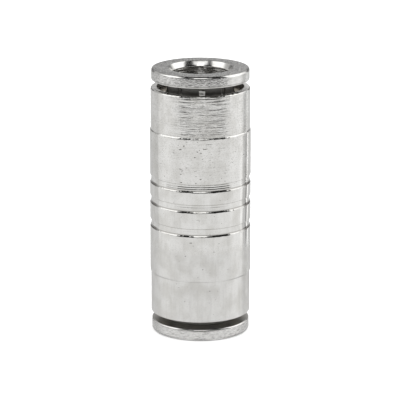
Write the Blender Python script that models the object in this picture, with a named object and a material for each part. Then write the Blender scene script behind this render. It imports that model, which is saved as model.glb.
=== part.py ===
"""A straight push-in union for 8 mm pneumatic tube, standing on one of its release collets.

The body is a turned brass barrel with a tube socket in each end. From its mouth inwards, each
socket holds a retaining ring, a slotted release collet with a steel grip ring inside its heads,
a backing ring and an O-ring. Both ends hold the same five pieces.

World frame: metres, +Z up along the bore, origin on the axis, in the lower collet's flat face.
A socket's own frame has its origin at the mouth and +z pointing out, so depths are negative z.
"""

import math

import bmesh
import bpy
from mathutils import Matrix

MM = 0.001

# Assembly
BODY_LENGTH = 31.99 * MM
COLLET_STAND_OFF = 1.01 * MM  # mouth to collet disc, with the collet fully out
FIT_GAP = 0.05 * MM  # between a pressed or seated ring and what holds it

# Body
BARREL_RADIUS = 7.00 * MM
END_RADIUS = 6.88 * MM
END_LENGTH = 6.11 * MM  # to where the barrel reaches its full radius
EDGE_ROUNDING = 0.48 * MM  # of the barrel's edges, at its steps and below its grooves
END_ROUNDING = 0.25 * MM
END_FALL = 0.03 * MM  # from the mouth out to the edge of the end
MOUTH_CHAMFER = 0.08 * MM
MOUTH_RADIUS = 6.00 * MM
SHOULDER_DEPTH = 8.10 * MM  # carries the backing ring
GLAND_RADIUS = 5.65 * MM
GLAND_DEPTH = 10.25 * MM
GUIDE_RADIUS = 4.10 * MM
STOP_DEPTH = 14.60 * MM  # the tube ends here
THROUGH_RADIUS = 3.20 * MM

# Decorative grooves. The barrel's rounded edge leads into each from below, and the floor deepens
# up to a steep wall.
GROOVE_EDGES = (2.445 * MM, -0.425 * MM, -3.825 * MM)  # lower edges, from the body's middle
GROOVE_FLOOR_RADIUS = 6.78 * MM
GROOVE_FLOOR_TOP = 1.15 * MM
GROOVE_HEIGHT = 1.30 * MM

# Release collet, whose own frame has z = 0 at the underside of its disc
DISC_RADIUS = 6.78 * MM
DISC_THICKNESS = 1.64 * MM
DISC_ROUNDING = 0.30 * MM
DISC_UNDER_ROUNDING = 0.30 * MM
LEAD_IN_RADIUS = 4.455 * MM
LEAD_IN_DEPTH = 0.69 * MM
COLLET_BORE_RADIUS = 4.04 * MM
NECK_RADIUS = 4.62 * MM
HEAD_RADIUS = 5.85 * MM
HEAD_END_RADIUS = 5.45 * MM
HEAD_END_CHAMFER = 0.70 * MM
HEAD_FLARE_RADIUS = 4.45 * MM
HEAD_FLARE_LENGTH = 0.50 * MM
COLLET_REACH = 7.01 * MM  # from the disc to the heads' inner end
SLOT_COUNT = 9
SLOT_WIDTH = 0.85 * MM
SLOT_WEB = 0.50 * MM  # metal between a slot's end and the disc

# Retaining ring, by depth below the mouth
RETAINER_TOP = 0.75 * MM
RETAINER_CONE_TOP = 1.60 * MM
RETAINER_BOTTOM = 2.60 * MM
RETAINER_BORE_RADIUS = 4.75 * MM
RETAINER_CONE_RADIUS = 5.85 * MM
RETAINER_CHAMFER = 0.12 * MM

# Grip ring and its groove, by depth below the mouth with the collet fully out
GRIP_GROOVE_TOP = 3.38 * MM
GRIP_GROOVE_BOTTOM = 4.62 * MM
GRIP_GROOVE_RADIUS = 4.75 * MM
GRIP_RADIUS = 4.68 * MM
GRIP_BAND_RADIUS = 4.30 * MM
GRIP_EDGE_RADIUS = 3.93 * MM  # bites 0.07 mm into an 8 mm tube
GRIP_END_PLAY = 0.08 * MM
GRIP_TOOTH_BACK = 0.06 * MM
GRIP_TOOTH_COUNT = 2
GRIP_SPLIT = 0.90 * MM

# Backing ring and O-ring, by depth below the mouth
BACKING_TOP = 7.30 * MM
BACKING_BORE_RADIUS = 4.15 * MM
BACKING_CHAMFER = 0.12 * MM
CORD_RADIUS = 0.90 * MM
CORD_CENTRE_RADIUS = 4.70 * MM
CORD_CENTRE_DEPTH = 9.17 * MM

# Facets. The collet's count is a multiple of its slots, so that a slot cuts no thin sliver.
BODY_SEGMENTS = 48
RING_SEGMENTS = 5 * SLOT_COUNT
ROUNDING_STEPS = 3
EDGE_STEPS = 2
CORD_STEPS = 10
SHARP_ANGLE = math.radians(25)
CUTTER_MARGIN = 0.50 * MM

LOWER_MOUTH = DISC_THICKNESS + COLLET_STAND_OFF
UPPER_MOUTH = LOWER_MOUTH + BODY_LENGTH

# Name of an end, height of its mouth, tilt that points its frame out of the socket, and its
# collet's turn about the bore. The upper turn puts a slot 3 degrees to the right of the front,
# -Y.
ENDS = (
    ("upper", UPPER_MOUTH, 0.0, math.radians(-87.0)),
    ("lower", LOWER_MOUTH, math.pi, math.radians(90.0)),
)

# Colour, metallic and roughness
NICKEL = ((0.62, 0.62, 0.60), 1.0, 0.30)
STEEL = ((0.50, 0.51, 0.52), 1.0, 0.28)
BRASS = ((0.62, 0.50, 0.28), 1.0, 0.35)
RUBBER = ((0.02, 0.02, 0.02), 0.0, 0.60)


def clear_scene():
    for obj in list(bpy.data.objects):
        bpy.data.objects.remove(obj, do_unlink=True)


def make_material(name, finish):
    colour, metallic, roughness = finish
    material = bpy.data.materials.new(name)
    material.use_nodes = True
    shader = material.node_tree.nodes["Principled BSDF"]
    shader.inputs["Base Color"].default_value = (*colour, 1.0)
    shader.inputs["Metallic"].default_value = metallic
    shader.inputs["Roughness"].default_value = roughness
    return material


def arc(centre, radius, start, end, steps):
    """Points of an arc in the (radius, height) plane, both ends included; angles in degrees."""
    angles = [math.radians(start + (end - start) * i / steps) for i in range(steps + 1)]
    return [
        (centre[0] + radius * math.cos(angle), centre[1] + radius * math.sin(angle))
        for angle in angles
    ]


def turned_mesh(name, outline, segments):
    """The solid of revolution about Z of a closed outline of (radius, height) points."""
    bm = bmesh.new()
    points = [bm.verts.new((radius, 0.0, height)) for radius, height in outline]
    edges = [bm.edges.new(pair) for pair in zip(points, points[1:] + points[:1])]
    bmesh.ops.spin(
        bm,
        geom=points + edges,
        cent=(0.0, 0.0, 0.0),
        axis=(0.0, 0.0, 1.0),
        angle=2.0 * math.pi,
        steps=segments,
        use_merge=True,
    )
    bmesh.ops.recalc_face_normals(bm, faces=bm.faces)
    mesh = bpy.data.meshes.new(name)
    bm.to_mesh(mesh)
    bm.free()
    mesh.shade_smooth()
    mesh.set_sharp_from_angle(angle=SHARP_ANGLE)
    return mesh


def add_object(name, mesh, parent=None, height=0.0, turn=0.0):
    """An object on the bore's axis, at a height and a turn about it in its parent's frame."""
    obj = bpy.data.objects.new(name, mesh)
    obj.location = (0.0, 0.0, height)
    obj.rotation_euler = (0.0, 0.0, turn)
    obj.parent = parent
    bpy.context.collection.objects.link(obj)
    return obj


def add_piece(name, outline, segments, finish, **place):
    """A turned piece with its own material."""
    mesh = turned_mesh(name, outline, segments)
    mesh.materials.append(make_material(name, finish))
    return add_object(name, mesh, **place)


def radial_box(bm, inner, outer, width, low, high, turn):
    """A box that runs from an inner to an outer radius, in the direction of turn about Z."""
    size = Matrix.Diagonal((outer - inner, width, high - low, 1.0))
    middle = Matrix.Translation(((inner + outer) / 2, 0.0, (low + high) / 2))
    bmesh.ops.create_cube(bm, size=1.0, matrix=Matrix.Rotation(turn, 4, "Z") @ middle @ size)


def cut_radially(obj, inner, outer, width, low, high, count):
    """Cuts evenly spaced radial boxes out of a piece, the first one along its own +X."""
    bm = bmesh.new()
    for i in range(count):
        radial_box(bm, inner, outer, width, low, high, 2.0 * math.pi * i / count)
    mesh = bpy.data.meshes.new(f"{obj.name}_cutter")
    bm.to_mesh(mesh)
    bm.free()
    cutter = add_object(mesh.name, mesh, parent=obj)
    cutter.hide_render = True
    cutter.display_type = "WIRE"
    boolean = obj.modifiers.new("slots", "BOOLEAN")
    boolean.operation = "DIFFERENCE"
    boolean.solver = "EXACT"
    boolean.object = cutter


def barrel_edge(height):
    """The rounded way out from the end radius to the barrel's, which it reaches at a height."""
    drop = (BARREL_RADIUS - END_RADIUS) / EDGE_ROUNDING
    steepest = math.degrees(math.acos(1.0 - drop))
    centre = (BARREL_RADIUS - EDGE_ROUNDING, height)
    return arc(centre, EDGE_ROUNDING, steepest, 0, EDGE_STEPS)


def groove(edge):
    """A groove in the barrel, read downwards."""
    return [
        (BARREL_RADIUS, edge + GROOVE_HEIGHT),
        (GROOVE_FLOOR_RADIUS, edge + GROOVE_FLOOR_TOP),
        *barrel_edge(edge),
    ]


def body_outline():
    """Down the outside and up the inside, from the body's middle."""
    end = BODY_LENGTH / 2
    rounding = (END_RADIUS - END_ROUNDING, end - END_FALL - END_ROUNDING)
    half_outside = [
        (MOUTH_RADIUS + MOUTH_CHAMFER, end),
        *reversed(arc(rounding, END_ROUNDING, 0, 90, ROUNDING_STEPS)),
        *barrel_edge(end - END_LENGTH),
    ]
    half_inside = [
        (THROUGH_RADIUS, end - STOP_DEPTH),
        (GUIDE_RADIUS, end - STOP_DEPTH),
        (GUIDE_RADIUS, end - GLAND_DEPTH),
        (GLAND_RADIUS, end - GLAND_DEPTH),
        (GLAND_RADIUS, end - SHOULDER_DEPTH),
        (MOUTH_RADIUS, end - SHOULDER_DEPTH),
        (MOUTH_RADIUS, end - MOUTH_CHAMFER),
    ]
    grooves = [point for edge in GROOVE_EDGES for point in groove(edge)]
    outside = half_outside + grooves + mirrored(half_outside)
    return outside + mirrored(half_inside) + half_inside


def mirrored(points):
    """The points of the body's other half, in the order that carries the outline on."""
    return [(radius, -height) for radius, height in reversed(points)]


def collet_outline():
    """The collet before its slots are cut, from the underside of its disc."""
    head_cone = retainer_slope()
    depth_at_disc = -COLLET_STAND_OFF
    cone_gap = RETAINER_BORE_RADIUS - FIT_GAP
    neck_end = RETAINER_CONE_TOP - (cone_gap - NECK_RADIUS) / head_cone
    head_start = RETAINER_CONE_TOP + (HEAD_RADIUS - cone_gap) / head_cone

    def height(depth):
        return depth_at_disc - depth

    rounding = (DISC_RADIUS - DISC_ROUNDING, DISC_THICKNESS - DISC_ROUNDING)
    under = (DISC_RADIUS - DISC_UNDER_ROUNDING, DISC_UNDER_ROUNDING)
    return [
        (LEAD_IN_RADIUS, DISC_THICKNESS),
        *reversed(arc(rounding, DISC_ROUNDING, 0, 90, ROUNDING_STEPS)),
        *arc(under, DISC_UNDER_ROUNDING, 0, -90, ROUNDING_STEPS),
        (NECK_RADIUS, 0.0),
        (NECK_RADIUS, height(neck_end)),
        (HEAD_RADIUS, height(head_start)),
        (HEAD_RADIUS, HEAD_END_CHAMFER - COLLET_REACH),
        (HEAD_END_RADIUS, -COLLET_REACH),
        (HEAD_FLARE_RADIUS, -COLLET_REACH),
        (COLLET_BORE_RADIUS, HEAD_FLARE_LENGTH - COLLET_REACH),
        (COLLET_BORE_RADIUS, height(GRIP_GROOVE_BOTTOM)),
        (GRIP_GROOVE_RADIUS, height(GRIP_GROOVE_BOTTOM)),
        (GRIP_GROOVE_RADIUS, height(GRIP_GROOVE_TOP)),
        (COLLET_BORE_RADIUS, height(GRIP_GROOVE_TOP)),
        (COLLET_BORE_RADIUS, DISC_THICKNESS - LEAD_IN_DEPTH),
    ]


def retainer_slope():
    """How fast the retaining ring's cone widens with depth."""
    rise = RETAINER_CONE_RADIUS - RETAINER_BORE_RADIUS
    return rise / (RETAINER_BOTTOM - RETAINER_CONE_TOP)


def retaining_ring_outline():
    outer = MOUTH_RADIUS - FIT_GAP
    return [
        (RETAINER_BORE_RADIUS, -RETAINER_TOP),
        (outer - RETAINER_CHAMFER, -RETAINER_TOP),
        (outer, -RETAINER_TOP - RETAINER_CHAMFER),
        (outer, -RETAINER_BOTTOM),
        (RETAINER_CONE_RADIUS, -RETAINER_BOTTOM),
        (RETAINER_BORE_RADIUS, -RETAINER_CONE_TOP),
    ]


def grip_ring_outline():
    """A thin band with sharp edges inside it, whose steep sides face into the socket."""
    top = -GRIP_GROOVE_TOP - GRIP_END_PLAY
    bottom = -GRIP_GROOVE_BOTTOM + GRIP_END_PLAY
    pitch = (top - bottom) / GRIP_TOOTH_COUNT
    teeth = []
    for i in reversed(range(GRIP_TOOTH_COUNT)):
        root = top - pitch * (i + 1)
        teeth += [(GRIP_BAND_RADIUS, root), (GRIP_EDGE_RADIUS, root + GRIP_TOOTH_BACK)]
    return [(GRIP_BAND_RADIUS, top), (GRIP_RADIUS, top), (GRIP_RADIUS, bottom), *teeth]


def backing_ring_outline():
    outer = MOUTH_RADIUS - FIT_GAP
    bottom = -SHOULDER_DEPTH + FIT_GAP
    return [
        (BACKING_BORE_RADIUS + BACKING_CHAMFER, -BACKING_TOP),
        (outer, -BACKING_TOP),
        (outer, bottom),
        (BACKING_BORE_RADIUS, bottom),
        (BACKING_BORE_RADIUS, -BACKING_TOP - BACKING_CHAMFER),
    ]


def o_ring_outline():
    """The round cord, starting at its outermost point and going down."""
    centre = (CORD_CENTRE_RADIUS, -CORD_CENTRE_DEPTH)
    return arc(centre, CORD_RADIUS, 0, -360, CORD_STEPS)[:-1]


def add_collet(name, frame, turn):
    collet = add_piece(
        name,
        collet_outline(),
        RING_SEGMENTS,
        NICKEL,
        parent=frame,
        height=COLLET_STAND_OFF,
        turn=turn,
    )
    cut_radially(
        collet,
        inner=COLLET_BORE_RADIUS - CUTTER_MARGIN,
        outer=HEAD_RADIUS + CUTTER_MARGIN,
        width=SLOT_WIDTH,
        low=-COLLET_REACH - CUTTER_MARGIN,
        high=-SLOT_WEB,
        count=SLOT_COUNT,
    )


def add_grip_ring(name, frame, turn):
    """A split ring, which closes with the collet's heads when they wedge onto the tube."""
    ring = add_piece(name, grip_ring_outline(), RING_SEGMENTS, STEEL, parent=frame, turn=turn)
    cut_radially(
        ring,
        inner=GRIP_EDGE_RADIUS - CUTTER_MARGIN,
        outer=GRIP_RADIUS + CUTTER_MARGIN,
        width=GRIP_SPLIT,
        low=-GRIP_GROOVE_BOTTOM - CUTTER_MARGIN,
        high=-GRIP_GROOVE_TOP + CUTTER_MARGIN,
        count=1,
    )


def add_end(end, mouth, tilt, turn):
    """The five pieces of one socket."""
    frame = add_object(f"{end}_socket_frame", None, height=mouth)
    frame.rotation_euler = (tilt, 0.0, 0.0)
    add_collet(f"{end}_collet", frame, turn)
    add_grip_ring(f"{end}_grip_ring", frame, turn)
    fixed = {
        "retaining_ring": (retaining_ring_outline(), BRASS),
        "backing_ring": (backing_ring_outline(), BRASS),
        "o_ring": (o_ring_outline(), RUBBER),
    }
    for piece, (outline, finish) in fixed.items():
        add_piece(f"{end}_{piece}", outline, RING_SEGMENTS, finish, parent=frame)


def main():
    clear_scene()
    middle = (LOWER_MOUTH + UPPER_MOUTH) / 2
    add_piece("union_body", body_outline(), BODY_SEGMENTS, NICKEL, height=middle)
    for end in ENDS:
        add_end(*end)


main()
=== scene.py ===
"""The looks of a nickel-plated push-in tube union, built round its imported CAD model.

Metres, +Z up, in the frame of the CAD. A turned piece is a closed outline of (radius, height)
points, read round once; a third number rounds that corner off by about that much.
"""

import math

import bmesh
import bpy
from mathutils import Matrix, Vector, noise


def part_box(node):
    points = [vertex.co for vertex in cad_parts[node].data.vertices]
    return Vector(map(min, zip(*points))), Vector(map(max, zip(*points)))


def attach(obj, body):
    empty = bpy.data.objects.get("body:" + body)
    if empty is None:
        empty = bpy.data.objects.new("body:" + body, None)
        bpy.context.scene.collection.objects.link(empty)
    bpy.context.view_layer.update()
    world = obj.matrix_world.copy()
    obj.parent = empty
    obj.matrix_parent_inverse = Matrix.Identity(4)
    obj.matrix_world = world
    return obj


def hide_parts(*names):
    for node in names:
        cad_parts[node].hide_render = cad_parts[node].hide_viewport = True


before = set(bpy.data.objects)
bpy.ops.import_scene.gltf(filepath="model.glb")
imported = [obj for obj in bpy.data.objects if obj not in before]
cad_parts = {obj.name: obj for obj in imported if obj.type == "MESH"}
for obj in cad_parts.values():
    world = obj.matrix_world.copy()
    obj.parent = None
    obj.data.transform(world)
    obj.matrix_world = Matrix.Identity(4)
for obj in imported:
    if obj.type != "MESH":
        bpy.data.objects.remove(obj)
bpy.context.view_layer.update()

MM = 0.001

# Heights read from the frame
BODY_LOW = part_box("union_body")[0].z
BODY_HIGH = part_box("union_body")[1].z
BODY_MIDDLE = (BODY_LOW + BODY_HIGH) / 2
BODY_HALF = (BODY_HIGH - BODY_LOW) / 2

# Body
BARREL_RADIUS = 7.00 * MM
END_RADIUS = 6.88 * MM
END_LENGTH = 6.11 * MM
EDGE_ROUNDING = 0.48 * MM
EDGE_WORN = 0.20 * MM  # where an edge is most worn, above where it reaches the barrel
UPPER_END_ROUNDING = 0.25 * MM
LOWER_END_ROUNDING = 0.10 * MM
END_FALL = 0.03 * MM  # from the mouth out to the edge of the end
GROOVE_EDGES = (2.445 * MM, -0.425 * MM, -3.825 * MM)  # lower edges, from the body's middle
GROOVE_FLOOR_RADIUS = 6.78 * MM
GROOVE_FLOOR_TOP = 1.15 * MM
GROOVE_HEIGHT = 1.30 * MM
GROOVE_CORNER = 0.36 * MM  # the inner corner over each lower edge
RING_COUNT = 3  # tool marks on a groove's floor
RING_DEPTHS = (0.012 * MM, 0.004 * MM, 0.002 * MM)
RING_POINTS = 24
MOUTH_RADIUS = 6.00 * MM
SHOULDER_DEPTH = 8.10 * MM
GLAND_RADIUS = 5.65 * MM
GLAND_DEPTH = 10.25 * MM
GUIDE_RADIUS = 4.10 * MM
STOP_DEPTH = 14.60 * MM
THROUGH_RADIUS = 3.20 * MM

# Collet, from the underside of its disc
DISC_RADIUS = 6.78 * MM
DISC_THICKNESS = 1.64 * MM
DISC_ROUNDING = 0.30 * MM
DISC_UNDER_ROUNDING = 0.20 * MM
LEAD_IN_RADIUS = 4.455 * MM
LEAD_IN_DEPTH = 0.69 * MM
COLLET_BORE_RADIUS = 4.04 * MM
NECK_RADIUS = 4.62 * MM
NECK_LENGTH = 2.54 * MM
HEAD_RADIUS = 5.85 * MM
HEAD_START = 3.66 * MM
HEAD_TIP_RADIUS = 5.45 * MM
HEAD_TIP_LENGTH = 0.70 * MM
COLLET_REACH = 7.01 * MM
COLLET_MOUTH_RADIUS = 4.45 * MM
COLLET_MOUTH_DEPTH = 0.50 * MM
GRIP_GROOVE_TOP = 4.39 * MM
GRIP_GROOVE_BOTTOM = 5.63 * MM
GRIP_GROOVE_RADIUS = 4.75 * MM
SLOT_COUNT = 9
SLOT_WIDTH = 0.85 * MM
SLOT_WEB = 0.50 * MM
SLOT_MIDDLE_RADIUS = 5.0 * MM
SLOT_ACROSS = 3.4 * MM
CUT_PAST_END = 0.5 * MM

# Rings, each from its own outer end
RETAINER_RADIUS = 5.95 * MM
RETAINER_BORE_RADIUS = 4.75 * MM
RETAINER_CONE_RADIUS = 5.85 * MM
RETAINER_CONE_START = 0.85 * MM
RETAINER_LENGTH = 1.85 * MM
BACKING_BORE_RADIUS = 4.15 * MM
BACKING_LENGTH = 0.75 * MM
GRIP_RADIUS = 4.68 * MM
GRIP_BAND_RADIUS = 4.30 * MM
GRIP_EDGE_RADIUS = 3.93 * MM
GRIP_LENGTH = 1.08 * MM
GRIP_TOOTH_BACK = 0.06 * MM
GRIP_SPLIT = 0.90 * MM
GRIP_SPLIT_RADIUS = 4.4 * MM
GRIP_SPLIT_SIZE = 2.0 * MM  # across and along the axis
CORD_RADIUS = 0.90 * MM
CORD_CENTRE_RADIUS = 4.70 * MM

BODY_SEGMENTS = 512
COLLET_SEGMENTS = 396
RING_SEGMENTS = 240
CORNER_STEPS = 4
SHARP = math.radians(38)
BODY_NICKS = 1900  # grain of the worn edges, per metre
COLLET_NICKS = 900

# Plating
NICKEL_LIGHT = (0.700, 0.695, 0.678, 1.0)
NICKEL_DULL = (0.600, 0.592, 0.568, 1.0)
# Ring, grain and wipe marks, and also the painted shade along the groove corners
NICKEL_MARK_AND_SHADE = (0.40, 0.39, 0.37, 1.0)
# Pits, and also the painted shade in the groove corners towards the sides
NICKEL_PIT_AND_SHADE = (0.14, 0.13, 0.12, 1.0)
NICKEL_INSIDE = (0.30, 0.295, 0.285, 1.0)
NICKEL_BLASTED = ((0.46, 0.455, 0.44, 1.0), (0.15, 0.146, 0.14, 1.0))
NICKEL_SATIN = ((0.64, 0.635, 0.62, 1.0), (0.34, 0.335, 0.325, 1.0))
NICKEL_BORE = (0.44, 0.43, 0.41, 1.0)
NICKEL_DEEP = (0.30, 0.295, 0.28, 1.0)
# Painted highlight: the near-white colour of the bright bands down the bore
NICKEL_HIGHLIGHT = (0.92, 0.91, 0.88, 1.0)
# Painted shade on the underside of a collet's disc, in the gap over the body's end
NICKEL_UNDERSIDE_SHADE = (0.42, 0.41, 0.39, 1.0)
# Painted shade: the necks sit in the shaded gaps under the discs and are coloured dark for it
UPPER_NECK_SHADE = (0.20, 0.195, 0.185, 1.0)
LOWER_NECK_SHADE = (0.27, 0.26, 0.24, 1.0)

# Each end: the turn of its slots, the dark colour painted on its neck for the shade in the gap,
# how satin the side of its disc is, and how far that side is polished away towards +X.
ENDS = (
    ("upper", math.radians(-87.0), (UPPER_NECK_SHADE, 1.0, 0.7)),
    ("lower", math.radians(90.0), (LOWER_NECK_SHADE, 0.72, 0.0)),
)

# Studio
FLOOR_SIZE = 4.0
FLOOR_DROP = 0.02 * MM
BACKDROP_RADIUS = 1.2
LAMP_STRENGTH = 3.6
LAMP_ANGLE = math.radians(100)
CAMERA_PLACE = (-0.05 * MM, -0.331, 0.1071)
CAMERA_TILT = math.radians(75.0)
CAMERA_LENS = 221.7
CAMERA_SENSOR = 36.0

# The light level round the horizon: from and to in degrees from the front, +X side positive,
# and the brightness there.
HORIZON_LEVEL = 1.27
HORIZON_LEVELS = (
    (-200, -140, 0.90),
    (-140, -112, 1.00),
    (-96, -70, 1.34),
    (72, 104, 1.37),
    (104, 112, 1.60),
    (114, 126, 0.95),
    (126, 133, 0.52),
    (134, 139, 1.90),
    (140, 200, 0.93),
)


# ---------------------------------------------------------------- shapes

def arc(centre, radius, start, end, steps):
    angles = [math.radians(start + (end - start) * i / steps) for i in range(steps + 1)]
    return [(centre[0] + radius * math.cos(a), centre[1] + radius * math.sin(a)) for a in angles]


def softened(outline):
    """The outline with its three-number corners rounded off."""
    points = []
    for i, corner in enumerate(outline):
        here = Vector(corner[:2])
        if len(corner) == 2:
            points.append(tuple(here))
            continue
        before = Vector(outline[i - 1][:2])
        after = Vector(outline[(i + 1) % len(outline)][:2])
        start = here + (before - here).normalized() * corner[2]
        end = here + (after - here).normalized() * corner[2]
        for k in range(CORNER_STEPS + 1):
            t = k / CORNER_STEPS
            points.append(tuple(start * (1 - t) ** 2 + here * 2 * t * (1 - t) + end * t**2))
    return points


def linked_object(name, bm):
    """Turns a bmesh into an object of the scene."""
    mesh = bpy.data.meshes.new(name)
    bm.to_mesh(mesh)
    bm.free()
    obj = bpy.data.objects.new(name, mesh)
    bpy.context.collection.objects.link(obj)
    return obj


def shade(mesh):
    mesh.shade_smooth()
    mesh.set_sharp_from_angle(angle=SHARP)


def lathe(name, outline, segments, height, flip=False):
    """The solid of revolution of an outline, raised to a height, upside down if flipped."""
    bm = bmesh.new()
    sign = -1.0 if flip else 1.0
    rings = []
    for radius, z in outline:
        ring = []
        for k in range(segments):
            angle = 2 * math.pi * k / segments
            at = (radius * math.cos(angle), radius * math.sin(angle), height + sign * z)
            ring.append(bm.verts.new(at))
        rings.append(ring)
    for upper, lower in zip(rings, rings[1:] + rings[:1]):
        for k in range(segments):
            after = (k + 1) % segments
            bm.faces.new((upper[k], upper[after], lower[after], lower[k]))
    bmesh.ops.recalc_face_normals(bm, faces=bm.faces)
    obj = linked_object(name, bm)
    shade(obj.data)
    return obj


def cut(obj, boxes):
    """Cuts boxes, given as matrices of a unit cube, out of a piece for good."""
    bm = bmesh.new()
    for box in boxes:
        bmesh.ops.create_cube(bm, size=1.0, matrix=box)
    cutter = linked_object(f"{obj.name}_cutter", bm)
    boolean = obj.modifiers.new("slots", "BOOLEAN")
    boolean.operation = "DIFFERENCE"
    boolean.object = cutter
    bpy.context.view_layer.update()
    graph = bpy.context.evaluated_depsgraph_get()
    made = bpy.data.meshes.new_from_object(obj.evaluated_get(graph))
    obj.modifiers.clear()
    obj.data = made
    bpy.data.objects.remove(cutter)
    shade(made)


def wear(obj, bands, grain):
    """Nicks the turned edges: each band is (height, half width, amount), and grain is per metre."""
    for vertex in obj.data.vertices:
        x, y, z = vertex.co
        for height, half_width, amount in bands:
            weight = 1.0 - abs(z - height) / half_width
            if weight <= 0.0:
                continue
            at = Vector((x, y, z * 0.6 + height)) * grain
            nick = noise.noise(at) + 0.7 * noise.noise(at * 2.3)
            push = amount * weight * nick * abs(nick)
            vertex.co.x += x / math.hypot(x, y) * push
            vertex.co.y += y / math.hypot(x, y) * push
            vertex.co.z += 0.7 * amount * weight * noise.noise(at * 1.7 + Vector((9, 4, 2)))


def finish_piece(obj, material, rides, node):
    obj.data.materials.clear()
    obj.data.materials.append(material)
    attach(obj, rides)
    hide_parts(node)


# ---------------------------------------------------------------- body

def barrel_edge(height):
    """The rounded way out from the end radius to the barrel's, which it reaches at a height."""
    drop = (BARREL_RADIUS - END_RADIUS) / EDGE_ROUNDING
    steepest = math.degrees(math.acos(1.0 - drop))
    centre = (BARREL_RADIUS - EDGE_ROUNDING, height)
    return arc(centre, EDGE_ROUNDING, steepest, 0, 8)


def groove(edge, ring_depth):
    """A groove read downwards. The tool left rings on its floor."""
    shoulder = barrel_edge(edge)
    low = shoulder[0][1]
    high = edge + GROOVE_FLOOR_TOP
    floor = []
    for i in range(RING_POINTS + 1):
        t = i / RING_POINTS
        radius = GROOVE_FLOOR_RADIUS + (END_RADIUS - GROOVE_FLOOR_RADIUS) * t
        radius += ring_depth * math.sin(2 * math.pi * RING_COUNT * t) * math.sin(math.pi * t)
        floor.append((radius, high + (low - high) * t))
    return [(BARREL_RADIUS, edge + GROOVE_HEIGHT, 0.04 * MM), *floor[:-1], *shoulder]


def mirrored(points):
    return [(point[0], -point[1], *point[2:]) for point in reversed(points)]


def end_outline(rounding):
    """The outside of an end, from its mouth to the barrel."""
    centre = (END_RADIUS - rounding, BODY_HALF - END_FALL - rounding)
    return [
        (MOUTH_RADIUS, BODY_HALF, 0.08 * MM),
        *reversed(arc(centre, rounding, 0, 90, 10)),
        *barrel_edge(BODY_HALF - END_LENGTH),
    ]


def socket_outline():
    """The inside of an end, from the through-bore to its mouth."""
    return [
        (THROUGH_RADIUS, BODY_HALF - STOP_DEPTH, 0.05 * MM),
        (GUIDE_RADIUS, BODY_HALF - STOP_DEPTH),
        (GUIDE_RADIUS, BODY_HALF - GLAND_DEPTH, 0.15 * MM),
        (GLAND_RADIUS, BODY_HALF - GLAND_DEPTH, 0.10 * MM),
        (GLAND_RADIUS, BODY_HALF - SHOULDER_DEPTH, 0.05 * MM),
        (MOUTH_RADIUS, BODY_HALF - SHOULDER_DEPTH, 0.02 * MM),
    ]


def body_outline():
    """Down the outside and up the inside, from the body's middle."""
    grooves = []
    for edge, ring_depth in zip(GROOVE_EDGES, RING_DEPTHS):
        grooves += groove(edge, ring_depth)
    outside = end_outline(UPPER_END_ROUNDING) + grooves + mirrored(end_outline(LOWER_END_ROUNDING))
    return softened(outside + mirrored(socket_outline()) + socket_outline())


def build_body():
    obj = lathe("body_shell", body_outline(), BODY_SEGMENTS, BODY_MIDDLE)
    edges = [*GROOVE_EDGES, BODY_HALF - END_LENGTH]
    bands = [(BODY_MIDDLE + edge + EDGE_WORN, 0.25 * MM, 0.030 * MM) for edge in edges]
    bands.append((BODY_HIGH, 0.30 * MM, 0.060 * MM))
    bands.append((BODY_LOW, 0.20 * MM, 0.010 * MM))
    wear(obj, bands, BODY_NICKS)
    return obj


# ---------------------------------------------------------------- ends

def outer_end(node, flip):
    """The height of the end of a node that faces out of the fitting."""
    low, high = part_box(node)
    return low.z if flip else high.z


def disc_outline():
    """The lead-in and the rounded rim of a collet's disc."""
    rim = (DISC_RADIUS - DISC_ROUNDING, DISC_THICKNESS - DISC_ROUNDING)
    under = (DISC_RADIUS - DISC_UNDER_ROUNDING, DISC_UNDER_ROUNDING)
    return [
        (COLLET_BORE_RADIUS, DISC_THICKNESS - LEAD_IN_DEPTH, 0.04 * MM),
        (LEAD_IN_RADIUS, DISC_THICKNESS, 0.05 * MM),
        *reversed(arc(rim, DISC_ROUNDING, 0, 90, 12)),
        *arc(under, DISC_UNDER_ROUNDING, 0, -90, 12),
    ]


def collet_outline():
    return softened([
        *disc_outline(),
        (NECK_RADIUS, 0.0, 0.10 * MM),
        (NECK_RADIUS, -NECK_LENGTH, 0.15 * MM),
        (HEAD_RADIUS, -HEAD_START, 0.20 * MM),
        (HEAD_RADIUS, HEAD_TIP_LENGTH - COLLET_REACH, 0.10 * MM),
        (HEAD_TIP_RADIUS, -COLLET_REACH, 0.05 * MM),
        (COLLET_MOUTH_RADIUS, -COLLET_REACH, 0.05 * MM),
        (COLLET_BORE_RADIUS, COLLET_MOUTH_DEPTH - COLLET_REACH, 0.05 * MM),
        (COLLET_BORE_RADIUS, -GRIP_GROOVE_BOTTOM, 0.02 * MM),
        (GRIP_GROOVE_RADIUS, -GRIP_GROOVE_BOTTOM),
        (GRIP_GROOVE_RADIUS, -GRIP_GROOVE_TOP),
        (COLLET_BORE_RADIUS, -GRIP_GROOVE_TOP, 0.02 * MM),
    ])


def build_collet(name, face, turn, flip):
    sign = -1.0 if flip else 1.0
    underside = face - sign * DISC_THICKNESS
    obj = lathe(name, collet_outline(), COLLET_SEGMENTS, underside, flip)
    length = COLLET_REACH + CUT_PAST_END - SLOT_WEB
    middle = underside - sign * (SLOT_WEB + length / 2)
    size = Matrix.Diagonal((SLOT_ACROSS, SLOT_WIDTH, length, 1.0))
    place = Matrix.Translation((SLOT_MIDDLE_RADIUS, 0.0, middle))
    turns = [turn + 2 * math.pi * i / SLOT_COUNT for i in range(SLOT_COUNT)]
    cut(obj, [Matrix.Rotation(angle, 4, "Z") @ place @ size for angle in turns])
    bands = ((face, 0.12 * MM, 0.010 * MM), (underside, 0.12 * MM, 0.020 * MM))
    wear(obj, bands, COLLET_NICKS)
    return obj


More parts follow.
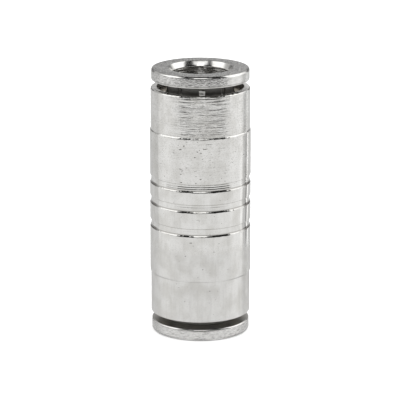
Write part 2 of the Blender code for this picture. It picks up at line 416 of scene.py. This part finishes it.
def retaining_outline():
    return softened([
        (RETAINER_BORE_RADIUS, 0.0, 0.06 * MM),
        (RETAINER_RADIUS, 0.0, 0.12 * MM),
        (RETAINER_RADIUS, -RETAINER_LENGTH, 0.04 * MM),
        (RETAINER_CONE_RADIUS, -RETAINER_LENGTH, 0.03 * MM),
        (RETAINER_BORE_RADIUS, -RETAINER_CONE_START, 0.06 * MM),
    ])


def backing_outline():
    return softened([
        (BACKING_BORE_RADIUS, 0.0, 0.12 * MM),
        (RETAINER_RADIUS, 0.0, 0.05 * MM),
        (RETAINER_RADIUS, -BACKING_LENGTH, 0.05 * MM),
        (BACKING_BORE_RADIUS, -BACKING_LENGTH, 0.05 * MM),
    ])


def grip_outline():
    tooth = GRIP_LENGTH / 2
    return softened([
        (GRIP_BAND_RADIUS, 0.0, 0.03 * MM),
        (GRIP_RADIUS, 0.0, 0.05 * MM),
        (GRIP_RADIUS, -GRIP_LENGTH, 0.05 * MM),
        (GRIP_BAND_RADIUS, -GRIP_LENGTH),
        (GRIP_EDGE_RADIUS, GRIP_TOOTH_BACK - GRIP_LENGTH),
        (GRIP_BAND_RADIUS, -tooth),
        (GRIP_EDGE_RADIUS, GRIP_TOOTH_BACK - tooth),
    ])


def cord_outline():
    return arc((CORD_CENTRE_RADIUS, -CORD_RADIUS), CORD_RADIUS, 0, 360, 48)[:-1]


def split_ring(obj, node, turn):
    """Cuts the gap that lets a ring close."""
    low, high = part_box(node)
    size = Matrix.Diagonal((GRIP_SPLIT_SIZE, GRIP_SPLIT, GRIP_SPLIT_SIZE, 1.0))
    place = Matrix.Translation((GRIP_SPLIT_RADIUS, 0.0, (low.z + high.z) / 2))
    cut(obj, [Matrix.Rotation(turn, 4, "Z") @ place @ size])


def build_rings(end, turn, brass, steel, rubber):
    flip = end == "lower"
    rings = (
        ("retaining_ring", retaining_outline(), "body", "plain_brass", brass),
        ("backing_ring", backing_outline(), "body", "plain_brass", brass),
        ("o_ring", cord_outline(), "body", "nitrile_rubber", rubber),
        ("grip_ring", grip_outline(), f"{end}_grip", "spring_steel", steel),
    )
    for kind, outline, rides, slot, material in rings:
        node = f"{end}_{kind}"
        ring = lathe(f"{node}_turned", outline, RING_SEGMENTS, outer_end(node, flip), flip)
        if kind == "grip_ring":
            split_ring(ring, node, turn)
        finish_piece(ring, material, rides, node)


def build_end(end, turn, looks, inner):
    """The collet and the rings of one end."""
    flip = end == "lower"
    node = f"{end}_collet"
    face = outer_end(node, flip)
    collet = build_collet(f"{end}_release_collet", face, turn, flip)
    plating = collet_material(f"nickel_plate_{end}", face, flip, *looks)
    finish_piece(collet, plating, f"{end}_release", node)
    build_rings(end, turn, *inner)


# ---------------------------------------------------------------- node graphs

class Graph:
    """Short names for the shader nodes used here."""

    def __init__(self, tree):
        self.tree = tree

    def node(self, kind, **settings):
        made = self.tree.nodes.new(kind)
        for name, value in settings.items():
            setattr(made, name, value)
        return made

    def feed(self, socket, value):
        if isinstance(value, bpy.types.NodeSocket):
            self.tree.links.new(value, socket)
        else:
            socket.default_value = value

    def math(self, operation, *values):
        made = self.node("ShaderNodeMath", operation=operation)
        for socket, value in zip(made.inputs, values):
            self.feed(socket, value)
        return made.outputs[0]

    def times(self, first, *others):
        """The product of all the values."""
        product = first
        for value in others:
            product = self.math("MULTIPLY", product, value)
        return product

    def mul_add(self, value, factor, rest):
        """The value times the factor, plus the rest."""
        return self.math("MULTIPLY_ADD", value, factor, rest)

    def inverse(self, mask):
        return self.math("SUBTRACT", 1.0, mask)

    def smooth(self, value, low, high):
        """0 below low and 1 above high."""
        made = self.node("ShaderNodeMapRange", interpolation_type="SMOOTHSTEP")
        self.feed(made.inputs["Value"], value)
        self.feed(made.inputs["From Min"], low)
        self.feed(made.inputs["From Max"], high)
        return made.outputs["Result"]

    def fall(self, value, low, high):
        """1 below low and 0 above high."""
        return self.inverse(self.smooth(value, low, high))

    def band(self, value, low, high, soft):
        """1 between low and high."""
        rise = self.smooth(value, low - soft, low + soft)
        return self.times(rise, self.fall(value, high - soft, high + soft))

    def blend(self, start, end, mask):
        """Goes from the start value to the end value as the mask goes from 0 to 1."""
        made = self.node("ShaderNodeMix", data_type="FLOAT")
        self.feed(made.inputs[0], mask)
        self.feed(made.inputs[2], start)
        self.feed(made.inputs[3], end)
        return made.outputs[0]

    def tint(self, start, end, mask):
        """Goes from the start colour to the end colour as the mask goes from 0 to 1."""
        made = self.node("ShaderNodeMix", data_type="RGBA")
        self.feed(made.inputs[0], mask)
        self.feed(made.inputs[6], start)
        self.feed(made.inputs[7], end)
        return made.outputs[2]

    def blended(self, value, layers):
        """A value with others laid over it in turn, each where its mask is 1."""
        for layer, mask in layers:
            value = self.blend(value, layer, mask)
        return value

    def tinted(self, colour, layers):
        """A colour with others laid over it in turn, each where its mask is 1."""
        for layer, mask in layers:
            colour = self.tint(colour, layer, mask)
        return colour

    def axes(self, vector):
        made = self.node("ShaderNodeSeparateXYZ")
        self.feed(made.inputs[0], vector)
        return made.outputs

    def scaled(self, vector, factors):
        made = self.node("ShaderNodeVectorMath", operation="MULTIPLY")
        self.feed(made.inputs[0], vector)
        made.inputs[1].default_value = factors
        return made.outputs[0]


class Surface(Graph):
    """The nodes of one material, laid out by the place on the piece in metres."""

    def __init__(self, name):
        self.material = bpy.data.materials.new(name)
        self.material.use_nodes = True
        super().__init__(self.material.node_tree)
        self.shader = self.tree.nodes["Principled BSDF"]
        self.place = self.node("ShaderNodeTexCoord").outputs["Object"]

    def along(self, axis):
        """The place along X, Y or Z."""
        return self.axes(self.place)[axis]

    def radius(self):
        """The distance from the axis of the fitting."""
        made = self.node("ShaderNodeVectorMath", operation="LENGTH")
        self.feed(made.inputs[0], self.scaled(self.place, (1.0, 1.0, 0.0)))
        return made.outputs["Value"]

    def noise(self, grain, detail=2.0):
        """Noise from 0 to 1, with its grain given per metre along x, y and z."""
        made = self.node("ShaderNodeTexNoise")
        made.inputs["Scale"].default_value = 1.0
        made.inputs["Detail"].default_value = detail
        self.feed(made.inputs["Vector"], self.scaled(self.place, grain))
        return made.outputs["Fac"]

    def finish(self, colour, roughness, height, metallic):
        """The material of these looks, bumped by a height in metres."""
        bump = self.node("ShaderNodeBump")
        bump.inputs["Distance"].default_value = 1.0
        self.feed(bump.inputs["Height"], height)
        self.feed(self.shader.inputs["Normal"], bump.outputs["Normal"])
        self.feed(self.shader.inputs["Base Color"], colour)
        self.feed(self.shader.inputs["Roughness"], roughness)
        self.feed(self.shader.inputs["Metallic"], metallic)
        return self.material


# ---------------------------------------------------------------- plating of the body

def ring_strength(metal, upper_end, upper_barrel):
    """Ring marks are plainest on the upper end, and rubbed down at its rim and its left side; on
    the +X side they fade, which paints that side lighter for the highlight there.
    """
    z = metal.along("Z")
    x = metal.along("X")
    strength = metal.blend(metal.mul_add(upper_barrel, 0.20, 0.05), 1.0, upper_end)
    rim = metal.mul_add(metal.smooth(z, BODY_HIGH - 0.42 * MM, BODY_HIGH - 0.30 * MM), -0.8, 1.0)
    left = metal.mul_add(metal.smooth(x, -4.7 * MM, -1.4 * MM), 0.8, 0.2)
    # Painted highlight: the marks and their stain fade on the +X side, so that side is lighter.
    highlit_right = metal.mul_add(metal.smooth(x, 3.2 * MM, 4.6 * MM), -0.65, 1.0)
    return metal.times(strength, left, highlit_right, rim)


def ring_marks(metal, upper_end, upper_barrel):
    """The height and the stain of the rings that the tool left."""
    rings = metal.noise((170, 170, 5200), 3.0)
    strength = ring_strength(metal, upper_end, upper_barrel)
    stain = metal.times(metal.smooth(rings, 0.50, 0.72), strength, 0.85)
    return metal.times(rings, strength, 0.150 * MM), stain


def fine_grain(metal, upper_barrel):
    """The height and the stain of the plating's grain, which is stronger higher up."""
    grain = metal.noise((4200, 4200, 5600))
    rise = metal.mul_add(upper_barrel, 0.010 * MM, 0.001 * MM)
    stain = metal.times(metal.smooth(grain, 0.45, 0.75), metal.mul_add(upper_barrel, 0.30, 0.16))
    return metal.times(grain, rise), stain


def wipe_marks(metal, upper_end, upper_barrel):
    """The height and the stain of upright wipe marks, plainest low on the body."""
    wipes = metal.noise((2300, 2300, 220))
    plain = metal.mul_add(upper_barrel, -0.6, metal.inverse(upper_end))
    stain = metal.times(metal.smooth(wipes, 0.45, 0.75), plain, 0.17)
    return metal.times(wipes, 0.003 * MM), stain


def pit_mask(metal, sides, upper_end, upper_barrel):
    """Small pits below the upper end, fewer low down and on the sides."""
    patches = metal.noise((330, 330, 330), 1.0)
    specks = metal.noise((1900, 1900, 5200), 1.0)
    least = metal.mul_add(patches, -0.08, metal.mul_add(upper_barrel, -0.06, 0.80))
    least = metal.mul_add(metal.smooth(sides, 2.5 * MM, 4.5 * MM), 0.05, least)
    pits = metal.smooth(specks, least, metal.math("ADD", least, 0.03))
    return metal.times(pits, metal.inverse(upper_end))


def groove_shade(metal, half):
    """Painted shade along each groove's inner corner, within a half width of it."""
    z = metal.along("Z")
    corner_shade = 0.0
    for edge in GROOVE_EDGES:
        corner = BODY_MIDDLE + edge + GROOVE_CORNER
        line = metal.band(z, corner - half, corner + half, 0.04 * MM)
        corner_shade = metal.math("MAXIMUM", corner_shade, line)
    return corner_shade


def body_roughness(metal, clouds, inside):
    """Bright metal, duller below the middle and inside the mouths."""
    dull = metal.fall(metal.along("Z"), BODY_MIDDLE - 7.0 * MM, BODY_MIDDLE - 4.2 * MM)
    rough = metal.mul_add(dull, 0.25, metal.mul_add(clouds, 0.06, 0.05))
    return metal.blend(rough, 0.45, inside)


def body_colour(metal, clouds, stains, sides, inside, pits):
    # Painted shade: the groove corners are darkened further towards both sides (large |X|).
    side_groove_shade = metal.times(groove_shade(metal, 0.19 * MM), metal.smooth(sides, 5.7 * MM, 6.3 * MM))
    plate = metal.tint(NICKEL_LIGHT, NICKEL_DULL, metal.smooth(clouds, 0.35, 0.70))
    return metal.tinted(plate, (
        *((NICKEL_MARK_AND_SHADE, stain) for stain in stains),
        # painted shade: a thin dark line along each groove's inner corner
        (NICKEL_MARK_AND_SHADE, metal.times(groove_shade(metal, 0.11 * MM), 0.8)),
        (NICKEL_PIT_AND_SHADE, metal.times(side_groove_shade, 0.9)),
        (NICKEL_INSIDE, inside),
        (NICKEL_PIT_AND_SHADE, pits),
    ))


def body_material():
    """Plating over turned brass: ring marks at the top, soft wipe marks lower down, pits, and
    painted shade in the groove corners.
    """
    metal = Surface("nickel_plate_body")
    z = metal.along("Z")
    sides = metal.math("ABSOLUTE", metal.along("X"))
    step = BODY_HIGH - END_LENGTH
    upper_end = metal.smooth(z, step + 0.36 * MM, step + 0.46 * MM)
    upper_barrel = metal.smooth(z, BODY_MIDDLE + 1.0 * MM, BODY_MIDDLE + 6.0 * MM)
    inside = metal.fall(metal.radius(), MOUTH_RADIUS, MOUTH_RADIUS + 0.04 * MM)
    pits = pit_mask(metal, sides, upper_end, upper_barrel)
    clouds = metal.noise((560, 560, 460), 4.0)
    rises, stains = zip(
        ring_marks(metal, upper_end, upper_barrel),
        fine_grain(metal, upper_barrel),
        wipe_marks(metal, upper_end, upper_barrel),
    )
    height = metal.times(pits, -0.03 * MM)
    for rise in rises:
        height = metal.math("ADD", height, rise)
    colour = body_colour(metal, clouds, stains, sides, inside, pits)
    return metal.finish(colour, body_roughness(metal, clouds, inside), height, 1.0)


# ---------------------------------------------------------------- plating of the collets

class ColletParts:
    """Masks of the parts of a collet's surface, from the depth below its outer face."""

    def __init__(self, metal, depth, polish):
        radius = metal.radius()
        below_disc = metal.smooth(depth, DISC_THICKNESS - 0.05 * MM, DISC_THICKNESS)
        outside_cone = metal.smooth(radius, 4.46 * MM, 4.52 * MM)
        polished = metal.smooth(metal.along("X"), 3.4 * MM, 4.6 * MM)
        rim = metal.smooth(radius, 6.0 * MM, 6.2 * MM)
        side = metal.band(depth, 0.26 * MM, 1.40 * MM, 0.06 * MM)
        bore = metal.fall(radius, 4.12 * MM, 4.22 * MM)
        self.face = metal.times(metal.fall(depth, 0.01 * MM, 0.05 * MM), outside_cone)
        self.side = metal.times(side, rim, metal.mul_add(polished, -polish, 1.0))
        self.cone = metal.band(radius, 4.10 * MM, 4.48 * MM, 0.02 * MM)
        self.bore = metal.times(bore, metal.smooth(depth, 0.70 * MM, 0.76 * MM))
        self.deep = metal.times(metal.smooth(depth, 2.3 * MM, 2.8 * MM), self.bore)
        # The neck and the underside of the disc get painted shade, for the gaps they sit in.
        self.neck = metal.times(below_disc, metal.band(radius, 4.58 * MM, 4.80 * MM, 0.02 * MM))
        self.underside = metal.times(below_disc, metal.smooth(radius, 4.78 * MM, 4.82 * MM))


def painted_bore_highlights(metal, parts):
    """Two painted highlights down the bore, near-white bands standing in for reflected light,
    broken into dashes by the reamer's rings.
    """
    x = metal.along("X")
    plain = metal.band(x, -0.35 * MM, 0.75 * MM, 0.15 * MM)
    faint = metal.band(x, 2.15 * MM, 2.95 * MM, 0.15 * MM)
    dashes = metal.smooth(metal.noise((900, 900, 3000), 1.0), 0.40, 0.60)
    strength = metal.math("MAXIMUM", metal.times(parts.bore, 0.55), parts.deep)
    return metal.times(metal.mul_add(faint, 0.5, plain), dashes, strength)


def collet_height(metal, parts, depth, mottle, satin):
    """Blasting on the face, a satin side that leans a little, and reamer rings in the bore."""
    blasting = metal.times(metal.noise((3400, 3400, 3400)), parts.face)
    grit = metal.noise((6500, 6500, 6500))
    rings = metal.times(metal.noise((300, 300, 5500), 3.0), parts.bore)
    side = metal.times(grit, 0.070 * MM * satin)
    side = metal.mul_add(mottle, 0.040 * MM * satin, side)
    side = metal.mul_add(depth, 0.12 * satin, side)
    height = metal.mul_add(side, parts.side, metal.times(blasting, 0.035 * MM))
    return metal.mul_add(rings, 0.13 * MM, height)


def collet_colour(metal, parts, clouds, mottle, satin, highlights, neck_shade):
    speckle = metal.noise((7500, 2600, 7500), 1.0)
    plate = metal.tint(NICKEL_LIGHT, NICKEL_DULL, metal.smooth(clouds, 0.35, 0.75))
    blasted = metal.tint(*NICKEL_BLASTED, metal.smooth(speckle, 0.34, 0.66))
    mottled = metal.tint(*NICKEL_SATIN, metal.smooth(mottle, 0.35, 0.80))
    return metal.tinted(plate, (
        (blasted, parts.face),
        (mottled, metal.times(parts.side, satin)),
        (NICKEL_BORE, parts.bore),
        (NICKEL_DEEP, parts.deep),
        # painted highlights down the bore
        (NICKEL_HIGHLIGHT, highlights),
        # painted shade on the disc's underside
        (NICKEL_UNDERSIDE_SHADE, parts.underside),
        # painted shade on the neck
        (neck_shade, parts.neck),
    ))


def collet_roughness(metal, parts, clouds, satin):
    return metal.blended(metal.mul_add(clouds, 0.06, 0.04), (
        (0.26, parts.face),
        (0.22, metal.times(parts.side, satin)),
        (0.60, parts.deep),
        (0.35, metal.math("MAXIMUM", parts.neck, parts.underside)),
        (0.20, parts.cone),
    ))


def collet_material(name, face, flip, neck_shade, satin, polish):
    """Plating with a blasted face, a satin rim and a reamed bore; the neck and the disc's underside
    are painted dark for the shade in the gaps, and the bore has painted highlights.
    """
    metal = Surface(name)
    below = metal.math("SUBTRACT", face, metal.along("Z"))
    depth = metal.times(below, -1.0 if flip else 1.0)
    parts = ColletParts(metal, depth, polish)
    clouds = metal.noise((700, 700, 700))
    mottle = metal.noise((2000, 2000, 6500))
    highlights = painted_bore_highlights(metal, parts)
    height = collet_height(metal, parts, depth, mottle, satin)
    colour = collet_colour(metal, parts, clouds, mottle, satin, highlights, neck_shade)
    rough = collet_roughness(metal, parts, clouds, satin)
    # Where light or shade is painted, on the bore highlights and the neck, the metal is turned
    # almost off.
    painted_light = metal.math("MAXIMUM", highlights, parts.neck)
    return metal.finish(colour, rough, height, metal.blend(1.0, 0.05, painted_light))


# ---------------------------------------------------------------- materials of the rings

def brass_material():
    """Bare turned brass with rings from the tool and a light tarnish."""
    brass = Surface("turned_brass")
    rings = brass.noise((300, 300, 7000), 3.0)
    tarnish = brass.noise((500, 500, 500), 3.0)
    bright = (0.66, 0.60, 0.50, 1.0)
    dull = (0.44, 0.39, 0.32, 1.0)
    colour = brass.tint(bright, dull, brass.smooth(tarnish, 0.4, 0.7))
    rough = brass.mul_add(tarnish, 0.25, 0.18)
    return brass.finish(colour, rough, brass.times(rings, 0.030 * MM), 1.0)


def steel_material():
    """Hardened spring steel, straw-tinted in places by its tempering."""
    steel = Surface("spring_steel")
    brushed = steel.noise((400, 400, 8000))
    temper = steel.noise((350, 350, 350))
    grey = (0.50, 0.51, 0.52, 1.0)
    straw = (0.46, 0.40, 0.30, 1.0)
    colour = steel.tint(grey, straw, steel.smooth(temper, 0.5, 0.8))
    rough = steel.mul_add(brushed, 0.15, 0.20)
    return steel.finish(colour, rough, steel.times(brushed, 0.012 * MM), 1.0)


def rubber_material():
    """Black nitrile rubber with a faint bloom and moulding grain."""
    rubber = Surface("nitrile_rubber")
    grain = rubber.noise((6000, 6000, 6000))
    bloom = rubber.noise((600, 600, 600), 3.0)
    black = (0.012, 0.012, 0.013, 1.0)
    grey = (0.035, 0.035, 0.036, 1.0)
    colour = rubber.tint(black, grey, rubber.smooth(bloom, 0.45, 0.75))
    rough = rubber.mul_add(bloom, 0.25, 0.40)
    return rubber.finish(colour, rough, rubber.times(grain, 0.006 * MM), 0.0)


# ---------------------------------------------------------------- studio

def studio_layers(graph, across, up):
    """Brightnesses and where they are, by degrees across from the front and up.

    Each is laid over the ones before it.
    """
    off = graph.math("ABSOLUTE", across)
    above = graph.smooth(up, 2, 8)
    front = graph.times(graph.band(across, -56, 74, 5), above)
    panel = graph.times(graph.fall(off, 14, 20), graph.band(up, 28, 56, 3))
    panel_top = graph.times(graph.fall(off, 32, 38), graph.band(up, 48, 56, 2))
    floor = graph.blend(1.22, 0.72, graph.smooth(off, 100, 130))
    return (
        # the walls, lower and upper
        (1.5, graph.smooth(up, 2, 10)),
        (2.25, graph.smooth(up, 14, 24)),
        # the back wall, its left side and its corners
        (0.95, graph.times(graph.smooth(off, 120, 150), above)),
        (0.75, graph.times(graph.fall(across, -118, -100), above)),
        (0.25, graph.times(graph.band(off, 137, 167, 5), graph.band(up, 1, 20, 3))),
        # a dim strip left of the front
        (0.60, graph.times(graph.band(across, -84, -56, 8), graph.band(up, 6, 16, 4))),
        # the dark front and zenith, with a bright panel between them
        (0.03, graph.math("MAXIMUM", front, graph.smooth(up, 56, 64))),
        (2.4, graph.math("MAXIMUM", panel, panel_top)),
        # the floor, and the shade under the fitting
        (floor, graph.band(up, -64, -30, 6)),
        (0.20, graph.fall(up, -86, -74)),
    )


def build_world():
    """Light by direction, which is all that the metal mirrors."""
    world = bpy.data.worlds.new("studio")
    bpy.context.scene.world = world
    world.use_nodes = True
    world.node_tree.nodes.clear()
    graph = Graph(world.node_tree)
    x, y, z = graph.axes(graph.node("ShaderNodeTexCoord").outputs["Generated"])
    degrees = 180 / math.pi
    up = graph.times(graph.math("ARCSINE", z), degrees)
    across = graph.times(graph.math("ARCTAN2", x, graph.times(y, -1.0)), degrees)

    horizon = ((level, graph.band(across, start, end, 1.5)) for start, end, level in HORIZON_LEVELS)
    light = graph.blended(HORIZON_LEVEL, horizon)
    light = graph.blended(light, studio_layers(graph, across, up))

    background = graph.node("ShaderNodeBackground")
    graph.feed(background.inputs["Strength"], light)
    output = graph.node("ShaderNodeOutputWorld")
    graph.feed(output.inputs["Surface"], background.outputs[0])


def plain_material(name, settings):
    """A material that only sets its shader's sockets, for the studio."""
    material = bpy.data.materials.new(name)
    material.use_nodes = True
    shader = material.node_tree.nodes["Principled BSDF"]
    for socket, value in settings.items():
        shader.inputs[socket].default_value = value
    return material


def build_floor():
    bpy.ops.mesh.primitive_plane_add(size=FLOOR_SIZE, location=(0, 0, -FLOOR_DROP))
    floor = bpy.context.object
    floor.name = "floor"
    pale = {"Base Color": (0.9, 0.9, 0.9, 1.0), "Roughness": 0.9}
    floor.data.materials.append(plain_material("pale_floor", pale))
    floor.visible_glossy = False


def build_backdrop():
    """A white dome round the studio that only the camera sees."""
    bm = bmesh.new()
    bmesh.ops.create_uvsphere(bm, u_segments=96, v_segments=48, radius=BACKDROP_RADIUS)
    backdrop = linked_object("backdrop", bm)
    glow = {"Emission Color": (1.0, 1.0, 1.0, 1.0), "Emission Strength": 1.0}
    material = plain_material("white_backdrop", glow)
    material.cycles.emission_sampling = "NONE"
    backdrop.data.materials.append(material)
    backdrop.visible_diffuse = False
    backdrop.visible_glossy = False
    backdrop.visible_transmission = False
    backdrop.visible_shadow = False


def build_lamp():
    """A broad soft lamp overhead, which lights the floor and isn't mirrored in the metal."""
    data = bpy.data.lights.new("overhead", "SUN")
    data.energy = LAMP_STRENGTH
    data.angle = LAMP_ANGLE
    lamp = bpy.data.objects.new("overhead", data)
    lamp.visible_glossy = False
    bpy.context.collection.objects.link(lamp)


def build_camera():
    data = bpy.data.cameras.new("camera")
    data.lens = CAMERA_LENS
    data.sensor_width = CAMERA_SENSOR
    data.clip_start = 0.01
    camera = bpy.data.objects.new("camera", data)
    camera.location = CAMERA_PLACE
    camera.rotation_euler = (CAMERA_TILT, 0, 0)
    bpy.context.collection.objects.link(camera)
    bpy.context.scene.camera = camera


def main():
    finish_piece(build_body(), body_material(), "body", "union_body")
    inner = (brass_material(), steel_material(), rubber_material())
    for end, turn, looks in ENDS:
        build_end(end, turn, looks, inner)

    build_floor()
    build_backdrop()
    build_lamp()
    build_world()
    build_camera()
    bpy.context.scene.view_settings.view_transform = "Standard"


main()
